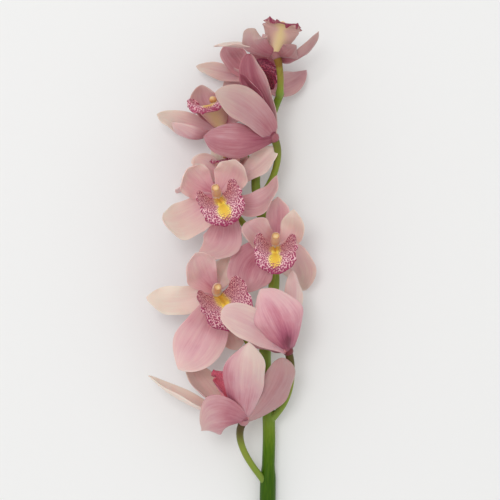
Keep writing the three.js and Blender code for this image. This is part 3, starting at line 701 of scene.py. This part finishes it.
# Petal flesh: thin, waxy and slightly see-through, with darker veins that run from root to tip.
def petalMaterial():
    material, tree, shader = newMaterial(
        "living petal", 0.48, Subsurface_Weight=0.3, Subsurface_Scale=0.002, Specular_IOR_Level=0.3,
        Sheen_Weight=0.12,
    )
    shader.inputs["Subsurface Radius"].default_value = (1, 0.45, 0.4)
    place = addNode(tree, "ShaderNodeUVMap", uv_map="place").outputs["UV"]
    tone = addNode(tree, "ShaderNodeAttribute", attribute_name="tone").outputs["Fac"]
    # Some 18 veins lie across a petal, with finer ones between, and they fade in and out along it.
    stretched = addNode(tree, "ShaderNodeVectorMath", {0: place, 1: (18, 2.2, 0)}, operation="MULTIPLY")
    veins = addNode(tree, "ShaderNodeTexNoise", {
        "Vector": stretched.outputs[0], "Scale": 1, "Detail": 4, "Roughness": 0.65, "Distortion": 0.3,
    }).outputs["Fac"]
    where = addNode(tree, "ShaderNodeTexCoord").outputs["Object"]
    # Soft flushes some 20 mm wide.
    patches = addNode(tree, "ShaderNodeTexNoise", {"Vector": where, "Scale": 50, "Detail": 3}).outputs["Fac"]
    veined = addNode(tree, "ShaderNodeMath", {0: veins, 1: 0.4, 2: tone}, operation="MULTIPLY_ADD")
    mottled = addNode(tree, "ShaderNodeMath", {
        0: patches, 1: 0.3, 2: veined.outputs[0],
    }, operation="MULTIPLY_ADD")
    # Half of what the veins and the flushes add comes off again, so that on average the tone stays.
    centred = addNode(tree, "ShaderNodeMath", {0: mottled.outputs[0], 1: 0.35}, operation="SUBTRACT")
    ramp = addNode(tree, "ShaderNodeValToRGB", {"Fac": centred.outputs[0]})
    setRamp(ramp, [
        (0, "#EBDDCE"), (0.25, "#E8CDC4"), (0.5, "#DDACB2"), (0.68, "#C8808F"), (0.84, "#AD5670"),
        (1, "#7A2240"),
    ])
    # Painted shade mixes the colour towards brown where a tepal lies in less light.
    dusk = addNode(tree, "ShaderNodeAttribute", attribute_name="dusk").outputs["Fac"]
    dusky = addNode(tree, "ShaderNodeMix", {
        "Factor": dusk, 6: ramp.outputs["Color"], 7: duskBrown,
    }, data_type="RGBA")
    tree.links.new(dusky.outputs[2], shader.inputs["Base Color"])
    bump = addNode(tree, "ShaderNodeBump", {"Height": veins, "Strength": 0.25, "Distance": 0.0006})
    tree.links.new(bump.outputs["Normal"], shader.inputs["Normal"])
    return material


# Lip flesh: pale pink with magenta spots in rows, a golden throat and a dark margin.
def lipMaterial():
    material, tree, shader = newMaterial(
        "spotted lip", 0.42, Subsurface_Weight=0.2, Subsurface_Scale=0.0015, Specular_IOR_Level=0.4,
    )
    shader.inputs["Subsurface Radius"].default_value = (1, 0.4, 0.4)
    place = addNode(tree, "ShaderNodeUVMap", uv_map="place").outputs["UV"]
    gold, spotting, rim, flush, dusk, side = [
        addNode(tree, "ShaderNodeAttribute", attribute_name=name).outputs["Fac"]
        for name in ("gold", "spotting", "rim", "flush", "dusk", "side")
    ]
    # The spots are 1.1 mm apart, a third longer along the lip, and uneven.
    rows = addNode(tree, "ShaderNodeVectorMath", {0: place, 1: (0.92, 0.7, 0)}, operation="MULTIPLY")
    spots = addNode(tree, "ShaderNodeTexVoronoi", {
        "Vector": rows.outputs[0], "Scale": 1, "Randomness": 0.9,
    }, voronoi_dimensions="2D")
    uneven = addNode(tree, "ShaderNodeTexNoise", {"Vector": place, "Scale": 0.35, "Detail": 2})
    wider = addNode(tree, "ShaderNodeMath", {
        0: uneven.outputs["Fac"], 1: 0.3, 2: spotting,
    }, operation="MULTIPLY_ADD")
    reach = addNode(tree, "ShaderNodeMath", {0: wider.outputs[0], 1: 0.15}, operation="SUBTRACT").outputs[0]
    edge = addNode(tree, "ShaderNodeMath", {
        0: spots.outputs["Distance"], 1: reach,
    }, operation="SUBTRACT").outputs[0]
    inked = addNode(tree, "ShaderNodeMapRange", {
        "Value": edge, "From Min": 0.08, "From Max": -0.12,  # soft rims
    }).outputs[0]
    flushed = addNode(tree, "ShaderNodeValToRGB", {"Fac": flush})
    setRamp(flushed, [(0, "#EDC2C6"), (0.5, "#F48498"), (1, "#A8405A")])
    anyFlush = addNode(tree, "ShaderNodeMapRange", {"Value": flush, "From Max": 0.3}).outputs[0]
    yellow = addNode(tree, "ShaderNodeValToRGB", {"Fac": gold})
    setRamp(yellow, [(0, "#F2D6B4"), (0.3, "#F4DCA0"), (0.6, "#F4D85A"), (1, "#ECC040")])
    gilt = addNode(tree, "ShaderNodeMapRange", {"Value": gold, "From Max": 0.35}).outputs[0]
    ink = addNode(tree, "ShaderNodeValToRGB", {"Fac": flush})
    setRamp(ink, [(0, "#A0285A"), (0.5, "#E66C88"), (1, "#5A1230")])
    # From the ground up: pale flesh, its flush, the yellow, the spots, the dark margin and brown painted
    # shade.
    colour = linearColour("#DDB2AA")
    for share, over in (
        (side, linearColour("#EDC2C6")), (anyFlush, flushed.outputs["Color"]),
        (gilt, yellow.outputs["Color"]), (inked, ink.outputs["Color"]), (rim, linearColour("#8E1D4A")),
        (dusk, duskBrown),
    ):
        mixed = addNode(tree, "ShaderNodeMix", {"Factor": share, 6: colour, 7: over}, data_type="RGBA")
        colour = mixed.outputs[2]
    tree.links.new(colour, shader.inputs["Base Color"])
    return material


# Column flesh: waxy, cream and peach at its end, and dark rose above its root.
def columnMaterial():
    material, tree, shader = newMaterial("column flesh", 0.4, Subsurface_Weight=0.2, Subsurface_Scale=0.001)
    tone = addNode(tree, "ShaderNodeAttribute", attribute_name="tone").outputs["Fac"]
    ramp = addNode(tree, "ShaderNodeValToRGB", {"Fac": tone})
    setRamp(ramp, [(0, "#FFF0D2"), (0.3, "#FFEACE"), (0.65, "#FFD6BE"), (0.85, "#DE9094"), (1, "#7E3A4A")])
    tree.links.new(ramp.outputs["Color"], shader.inputs["Base Color"])
    return material


# Anther cap: a smooth, firm helmet, tan at its rim and peach-cream at its end.
def capMaterial():
    material, tree, shader = newMaterial("anther cap", 0.35, Subsurface_Weight=0.25, Subsurface_Scale=0.001)
    tone = addNode(tree, "ShaderNodeAttribute", attribute_name="tone").outputs["Fac"]
    ramp = addNode(tree, "ShaderNodeValToRGB", {"Fac": tone})
    setRamp(ramp, [(0, "#C08852"), (0.4, "#DDAE76"), (1, "#EECB92")])
    tree.links.new(ramp.outputs["Color"], shader.inputs["Base Color"])
    return material


# Stem skin: smooth, waxed and green, darkest at the cut end and browner where a stalk meets its bloom, a
# brown that is partly its own and partly painted shade under the bloom.
def stemMaterial():
    material, tree, shader = newMaterial(
        "stem skin", 0.38, Subsurface_Weight=0.1, Subsurface_Scale=0.001, Specular_IOR_Level=0.16,
    )
    ripe = addNode(tree, "ShaderNodeAttribute", attribute_name="ripe").outputs["Fac"]
    brown = addNode(tree, "ShaderNodeAttribute", attribute_name="brown").outputs["Fac"]
    where = addNode(tree, "ShaderNodeTexCoord").outputs["Object"]
    # Streaks some 1 mm wide and 17 mm long run up it.
    streaked = addNode(tree, "ShaderNodeVectorMath", {0: where, 1: (900, 60, 900)}, operation="MULTIPLY")
    streaks = addNode(
        tree, "ShaderNodeTexNoise", {"Vector": streaked.outputs[0], "Scale": 1, "Detail": 2},
    ).outputs["Fac"]
    shade = addNode(tree, "ShaderNodeMath", {0: streaks, 1: 0.16, 2: ripe}, operation="MULTIPLY_ADD")
    centred = addNode(tree, "ShaderNodeMath", {0: shade.outputs[0], 1: 0.08}, operation="SUBTRACT")
    ramp = addNode(tree, "ShaderNodeValToRGB", {"Fac": centred.outputs[0]})
    setRamp(ramp, [
        (0, "#335500"), (0.1, "#4E6E04"), (0.2, "#68801E"), (0.32, "#788E3C"), (0.6, "#829436"),
        (0.88, "#8E8638"), (1, "#7E5C24"),
    ])
    # The brown at a stalk's end is partly its own colour and partly painted shade under its bloom.
    browned = addNode(tree, "ShaderNodeMix", {
        "Factor": brown, 6: ramp.outputs["Color"], 7: linearColour("#4E3B21"),
    }, data_type="RGBA")
    tree.links.new(browned.outputs[2], shader.inputs["Base Color"])
    bump = addNode(tree, "ShaderNodeBump", {"Height": streaks, "Strength": 0.2, "Distance": 0.0004})
    tree.links.new(bump.outputs["Normal"], shader.inputs["Normal"])
    return material


# Table top: matt white laminate.
def tableMaterial():
    material, tree, shader = newMaterial("matt laminate", 0.9, Specular_IOR_Level=0.1)
    shader.inputs["Base Color"].default_value = linearColour("#F0F0EF")
    return material


# The stem's middle line, and its radius and its colour by height: ripeness 0 is dark green, and 1 brown.
stemForm = {
    "line": (
        (24, -194.5, 5.3), (24.3, -165, 5.3), (24.8, -128, 8), (25.5, -95, 14), (24.5, -70, 18),
        (22.5, -40, 21), (26, -10, 22), (29, 15, 22), (24, 48, 22), (16, 80, 23), (20, 108, 27),
        (29, 134, 35), (33.5, 145, 41),
    ),
    "radii": ((-194.5, 5.75), (-130, 5.7), (-118, 4.6), (-60, 4.4), (0, 4), (80, 3.2), (150, 2.6)),
    "ripeness": (
        (-194.5, 0), (-130, 0.01), (-120, 0.05), (-110, 0.08), (-99, 0.15), (-89, 0.23), (-60, 0.34),
        (20, 0.45), (110, 0.5), (145, 0.2),
    ),
    "stepsPerSpan": 20, "sides": 36,
}
stalkForm = {
    "radii": ((0, 2.3), (0.5, 2.3), (1, 2.8)), "steps": 60,
    "leaves": 16, "arrives": 13,  # how far it runs on with the stem, and straight to its bloom
    "sunk": 1,  # how deep it ends in the hub
    "flare": 1.1, "flareLong": 0.12,  # how much wider its root is, in mm, and for what share of its length
    "underStem": 0.3, "frees": 8,  # how much thinner than the stem its root stays, and how fast that ends
    "ripeAtRoot": 0.3, "ripens": 0.35,
}
# Each stalk's height on the stem, where it bends, and how dark brown its upper end is. Under 0, how olive it
# is all along, ending light brown. Either brown end is partly its own and partly painted shade under its
# bloom.
stalks = {
    "bloom_01": (-134, ((15, -122, 14), (-0.5, -101, 28)), 0.95),
    "bloom_02": (-86, ((40, -76, 24), (43.5, -54, 38)), 0.9),
    "bloom_03": (-60, None, 0.8),
    "bloom_04": (-20, None, 0.8),
    "bloom_05": (20, None, 0.8),
    "bloom_06": (50, None, 0.8),
    "bloom_07": (70, ((29, 83, 28), (34.5, 100, 38)), 0.5),
    "bloom_08": (84, None, 0.8),
    "bloom_09": (126, ((28, 142, 28), (20, 147, 8)), 0.8),
    "bloom_10": (142, ((34.5, 153, 50), (32, 164, 56)), -0.5),
}


# A centripetal spline through points.
def splineThrough(points, perSpan):
    p = [np.array(q, float) for q in points]
    p = [2 * p[0] - p[1], *p, 2 * p[-1] - p[-2]]
    made = []
    for a, b, c, d in zip(p, p[1:], p[2:], p[3:]):
        ta, tb, tc = [np.linalg.norm(x) ** 0.5 for x in (b - a, c - b, d - c)]
        leave = ((b - a) / ta - (c - a) / (ta + tb) + (c - b) / tb) * tb
        arrive = ((c - b) / tb - (d - b) / (tb + tc) + (d - c) / tc) * tb
        t = np.linspace(0, 1, perSpan, endpoint=False)[:, None]
        first = b * (1 + 2 * t) * (1 - t) ** 2 + leave * t * (1 - t) ** 2
        made.append(first + c * t * t * (3 - 2 * t) - arrive * t * t * (1 - t))
    return np.concatenate([*made, p[-2][None]])


def stalkLine(bloom, trunk):
    height, bends, _ = stalks[bloom["name"]]
    i = int(np.argmin(np.abs(trunk[:, 1] - height)))
    root, upward = trunk[i], unit(trunk[i + 1] - trunk[i])
    hub = np.array(bloom["at"], float)
    forward, _, _ = bloomAxes(bloom)
    leaving, arriving = bends or (root + upward * stalkForm["leaves"], hub - forward * stalkForm["arrives"])
    end = hub + unit(hub - np.array(arriving)) * (stalkForm["sunk"] - hubForm["radius"])
    return bezier([root, leaving, arriving, end], np.linspace(0, 1, stalkForm["steps"]))[0]


# Lines in, rods out: each point's girth is its radius there.
def rodTree(material):
    tree = bpy.data.node_groups.new("rods along lines", "GeometryNodeTree")
    tree.interface.new_socket("Lines", in_out="INPUT", socket_type="NodeSocketGeometry")
    sides = tree.interface.new_socket("Sides", in_out="INPUT", socket_type="NodeSocketInt")
    skin = tree.interface.new_socket("Skin", in_out="INPUT", socket_type="NodeSocketMaterial")
    tree.interface.new_socket("Rods", in_out="OUTPUT", socket_type="NodeSocketGeometry")
    given = addNode(tree, "NodeGroupInput")
    curve = addNode(tree, "GeometryNodeMeshToCurve", {"Mesh": given.outputs["Lines"]})
    girth = addNode(tree, "GeometryNodeInputNamedAttribute", {"Name": "girth"}, data_type="FLOAT")
    ring = addNode(tree, "GeometryNodeCurvePrimitiveCircle", {
        "Resolution": given.outputs["Sides"], "Radius": 1.0,
    })
    rod = addNode(tree, "GeometryNodeCurveToMesh", {
        "Curve": curve.outputs[0], "Profile Curve": ring.outputs["Curve"], "Scale": girth.outputs[0],
        "Fill Caps": True,
    })
    smooth = addNode(tree, "GeometryNodeSetShadeSmooth", {0: rod.outputs[0]})
    real = addNode(tree, "GeometryNodeRealizeInstances", {0: smooth.outputs[0]})
    dressed = addNode(tree, "GeometryNodeSetMaterial", {
        0: real.outputs[0], "Material": given.outputs["Skin"],
    })
    addNode(tree, "NodeGroupOutput", {0: dressed.outputs[0]})
    return tree, {sides.identifier: stemForm["sides"], skin.identifier: material}


# Each line with its radius, its ripeness and how brown it is, point by point.
def stemLines():
    trunk = splineThrough(stemForm["line"], stemForm["stepsPerSpan"])
    height = trunk[:, 1]
    radius, ripe = through(stemForm["radii"], height), through(stemForm["ripeness"], height)
    lines = [(trunk, radius, ripe, np.zeros(len(trunk)))]
    f = stalkForm
    for bloom in blooms:
        line = stalkLine(bloom, trunk)
        u = np.linspace(0, 1, len(line))
        radius = through(f["radii"], u) + f["flare"] * np.exp(-(u / f["flareLong"]) ** 2)
        # No wider at its root than the stem round it.
        room = through(stemForm["radii"], line[0, 1]) - f["underStem"]
        radius = np.minimum(radius, room + f["frees"] * u)
        brown = stalks[bloom["name"]][2]
        ripe = f["ripeAtRoot"] + f["ripens"] * ease(0, 0.5, u)
        # Near its bloom a stalk turns brown, partly its own colour and partly painted shade under the bloom.
        ripe = ripe - min(brown, 0) * (0.5 * ease(0, 0.25, u) + ease(0.62, 0.95, u))
        lines.append((line, radius, ripe, max(brown, 0) * ease(0.6, 0.95, u)))
    return lines


def buildStem(material):
    lines = stemLines()
    mesh = bpy.data.meshes.new("stem lines")
    edges, start = [], 0
    for line, *_ in lines:
        edges += [(start + k, start + k + 1) for k in range(len(line) - 1)]
        start += len(line)
    mesh.from_pydata((np.concatenate([line for line, *_ in lines]) * mm).tolist(), edges, [])
    for name, column, scale in (("girth", 1, mm), ("ripe", 2, 1), ("brown", 3, 1)):
        values = np.concatenate([row[column] for row in lines]) * scale
        mesh.attributes.new(name, "FLOAT", "POINT").data.foreach_set("value", values)
    source = bpy.data.objects.new("stem lines", mesh)
    bpy.context.scene.collection.objects.link(source)
    modifier = source.modifiers.new("rods", "NODES")
    modifier.node_group, inputs = rodTree(material)
    for identifier, value in inputs.items():
        modifier[identifier] = value
    evaluated = source.evaluated_get(bpy.context.evaluated_depsgraph_get())
    rods = bpy.data.meshes.new_from_object(evaluated)
    bpy.data.objects.remove(source)
    place = np.empty(len(rods.vertices) * 3)
    rods.vertices.foreach_get("co", place)
    place[2::3] = np.maximum(place[2::3], 0)
    rods.vertices.foreach_set("co", place)
    rods.update()
    piece = bpy.data.objects.new("flower_stem", rods)
    bpy.context.scene.collection.objects.link(piece)
    return piece


fit(buildStem(stemMaterial()), "stem")
print("stem and stalks done")

petalFlesh, lipFlesh, columnFlesh, capFlesh = petalMaterial(), lipMaterial(), columnMaterial(), capMaterial()
for number, bloom in enumerate(blooms):
    chance = np.random.default_rng(100 + number)
    name = bloom["name"]
    shells = [hubShell(bloom)] + [tepalShell(bloom, shape, chance) for shape in bloom["tepals"].values()]
    fit(meshFrom(name + "_petals", shells, petalFlesh), name + "_tepals")
    fit(meshFrom(name + "_spotted_lip", [lipShell(bloom, chance)], lipFlesh), name + "_lip")
    fit(meshFrom(name + "_curved_column", [columnShell(bloom)], columnFlesh), name + "_column")
    fit(meshFrom(name + "_anther_cap", [capShell(bloom)], capFlesh), name + "_cap")
    print(name, "done")


studio = {
    "floorSize": 4, "worldStrength": 0.76, "keyPower": 13.5, "keySize": 0.7, "keyAt": (-0.35, 0.45, 2.2),
    "cameraAt": (0.0119, 0.035, 1.35), "lens": 134.74, "sensor": 36,  # places in metres
}


def buildFloor(material):
    half = studio["floorSize"] / 2
    mesh = bpy.data.meshes.new("table_top")
    corners = [(-half, -half, 0), (half, -half, 0), (half, half, 0), (-half, half, 0)]
    mesh.from_pydata(corners, [], [(0, 1, 2, 3)])
    mesh.materials.append(material)
    floor = bpy.data.objects.new("table_top", mesh)
    bpy.context.scene.collection.objects.link(floor)


def buildLight():
    world = bpy.data.worlds.new("soft room")
    world.use_nodes = True
    world.node_tree.nodes["Background"].inputs["Color"].default_value = (1, 1, 1, 1)
    world.node_tree.nodes["Background"].inputs["Strength"].default_value = studio["worldStrength"]
    bpy.context.scene.world = world
    key = bpy.data.lights.new("key softbox", "AREA")
    key.energy, key.size = studio["keyPower"], studio["keySize"]
    lamp = bpy.data.objects.new("key softbox", key)
    lamp.location = studio["keyAt"]
    lamp.rotation_euler = (-Vector(studio["keyAt"])).to_track_quat("-Z", "Y").to_euler()
    bpy.context.scene.collection.objects.link(lamp)


def buildCamera():
    data = bpy.data.cameras.new("camera")
    data.lens, data.sensor_width = studio["lens"], studio["sensor"]
    camera = bpy.data.objects.new("camera", data)
    camera.location = studio["cameraAt"]  # straight above, looking down, with the spike's top up
    bpy.context.scene.collection.objects.link(camera)
    bpy.context.scene.camera = camera


buildFloor(tableMaterial())
buildLight()
buildCamera()
bpy.context.scene.view_settings.view_transform = "Standard"
print("studio done")
